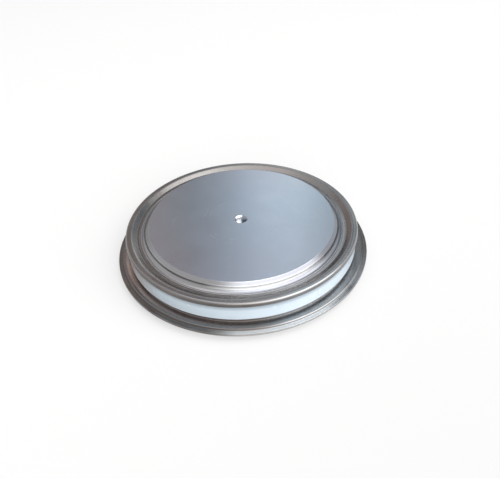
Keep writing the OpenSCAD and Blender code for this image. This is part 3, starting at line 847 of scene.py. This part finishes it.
# A flat sheet of the studio from its four corners, with an empty material
def makeStagePlane(name, corners):
    mesh = bpy.data.meshes.new(name)
    mesh.from_pydata(corners, [], [(0, 1, 2, 3)])
    plane = bpy.data.objects.new(name, mesh)
    scene.collection.objects.link(plane)
    material = bpy.data.materials.new(name)
    material.use_nodes = True
    material.node_tree.nodes.clear()
    mesh.materials.append(material)
    return plane, material.node_tree


# A matt floor that glows faintly for the rays that see it, so that only the shadow shows
def makeFloor():
    half = studio["floorSize"] / 2
    corners = [(-half, -half, 0), (half, -half, 0), (half, half, 0), (-half, half, 0)]
    tree = makeStagePlane("floor", corners)[1]
    matt = put(tree, "BsdfDiffuse", {"Color": studio["floorColor"], "Roughness": 1.0}).outputs[0]
    strength = times(tree, seenRays(tree), studio["floorLift"])
    lift = put(tree, "Emission", {"Color": white, "Strength": strength}).outputs[0]
    both = put(tree, "AddShader", {0: matt, 1: lift}).outputs[0]
    put(tree, "OutputMaterial", {"Surface": both})


# A card that only metal mirrors, behind the capsule: metres, and colours from left to right.
# Lines of equal shade and of the bright strip rise to the left by the slope.
backdrop = {
    "width": 1.2, "low": 0.12, "high": 0.90, "far": 0.55, "strength": 1.7, "from": -0.2, "to": 0.2,
    "stops": [
        (-0.20, (0.36, 0.30, 0.27)), (-0.15, (0.33, 0.27, 0.265)), (-0.10, (0.225, 0.235, 0.24)),
        (-0.05, (0.34, 0.36, 0.40)), (0.0, (0.62, 0.71, 0.78)), (0.035, (0.88, 0.95, 1.0)),
        (0.075, (0.72, 0.80, 0.84)), (0.115, (0.38, 0.39, 0.40)), (0.20, (0.36, 0.36, 0.36)),
    ],
    "tintRise": (0.48, 0.58), "tintEnd": (-0.06, 0.02), "tint": (1.04, 0.86, 0.88, 1),
    "slope": 0.6, "shadeRise": (0.465, 0.54), "shade": (0.54, 0.60, 0.65, 1),
    "stripBand": (0.60, 0.012, 0.03), "stripEnd": (0.13, 0.16), "strip": (0.80, 0.86, 0.92, 1),
}


# The card's colours from left to right, for x in metres
def backdropRamp(tree, x):
    start, end, stops = backdrop["from"], backdrop["to"], backdrop["stops"]
    ramp = put(tree, "ValToRGB", {0: spread(tree, x, start, end)})
    elements = ramp.color_ramp.elements
    ramp.color_ramp.interpolation = "EASE"
    while len(elements) < len(stops):
        elements.new(0.5)
    for element, (at, color) in zip(elements, stops):
        element.position = (at - start) / (end - start)
        element.color = (*color, 1)
    return ramp.outputs[0]


def makeBackdrop():
    plan = backdrop
    wide, low, high, far = plan["width"] / 2, plan["low"], plan["high"], plan["far"]
    corners = [(-wide, far, low), (wide, far, low), (wide, far, high), (-wide, far, high)]
    card, tree = makeStagePlane("backdrop", corners)
    for ray in ("camera", "diffuse", "shadow", "transmission"):
        setattr(card, "visible_" + ray, False)
    x, y, z = put(tree, "SeparateXYZ", {0: put(tree, "TexCoord").outputs["Object"]}).outputs
    rise = calc(tree, "ADD", z, times(tree, x, plan["slope"]))
    tinted = times(tree, spread(tree, z, *plan["tintRise"]), spread(tree, x, *plan["tintEnd"], 1.0, 0.0))
    shaded = spread(tree, rise, *plan["shadeRise"])
    strip = times(tree, bandAt(tree, rise, *plan["stripBand"]), spread(tree, x, *plan["stripEnd"], 1.0, 0.0))
    color = tint(tree, backdropRamp(tree, x), plan["tint"], tinted)
    color = tint(tree, color, plan["shade"], shaded)
    color = blendColor(tree, strip, color, plan["strip"], "ADD")
    glow = put(tree, "Emission", {"Color": color, "Strength": plan["strength"]})
    put(tree, "OutputMaterial", {"Surface": glow.outputs[0]})


lamps = {  # place, aim and size in metres, and whether metal mirrors the lamp
    "keyRight": {"place": (0.333, -0.277, 0.665), "aim": (0, 0, 0.01), "size": (1.2, 0.7),
                 "watts": 6.7, "color": (1.0, 0.99, 0.97), "mirrored": True},
    "frontFill": {"place": (0.10, -0.70, 0.20), "aim": (0, 0, 0.01), "size": (0.4, 0.4),
                  "watts": 1.3, "color": (0.95, 0.98, 1.0), "mirrored": False},
    "rightFill": {"place": (0.55, -0.25, 0.15), "aim": (0, 0, 0.01), "size": (0.3, 0.3),
                  "watts": 0.8, "color": (0.97, 0.99, 1.0), "mirrored": False},
    "topSoft": {"place": (0.0, 0.05, 0.80), "aim": (0, 0, 0), "size": (0.7, 0.7),
                "watts": 1.4, "color": (1.0, 1.0, 1.0), "mirrored": True},
}


def makeLamps():
    for name, plan in lamps.items():
        light = bpy.data.lights.new(name, "AREA")
        light.shape = "RECTANGLE"
        light.size, light.size_y = plan["size"]
        light.energy = plan["watts"]
        light.color = plan["color"]
        lamp = bpy.data.objects.new(name, light)
        lamp.location = plan["place"]
        ahead = Vector(plan["aim"]) - Vector(plan["place"])
        lamp.rotation_euler = ahead.to_track_quat("-Z", "Y").to_euler()
        lamp.visible_glossy = plan["mirrored"]
        scene.collection.objects.link(lamp)


cameraPlan = {  # place in metres, turn in degrees, lens and sensor in millimetres
    "place": (0.008029, -0.163992, 0.135925), "turn": (51.41, 2.33, 0.0),
    "lens": 43.2, "sensor": 36.0, "near": 0.01,
}


def makeCamera():
    plan = cameraPlan
    view = bpy.data.cameras.new("photoView")
    view.lens = plan["lens"]
    view.sensor_width = plan["sensor"]
    view.clip_start = plan["near"]
    camera = bpy.data.objects.new("photoView", view)
    camera.location = plan["place"]
    camera.rotation_euler = [math.radians(a) for a in plan["turn"]]
    scene.collection.objects.link(camera)
    scene.camera = camera


makeWorld()
makeFloor()
makeBackdrop()
makeLamps()
makeCamera()
scene.view_settings.view_transform = "Standard"
print("studio and camera placed")
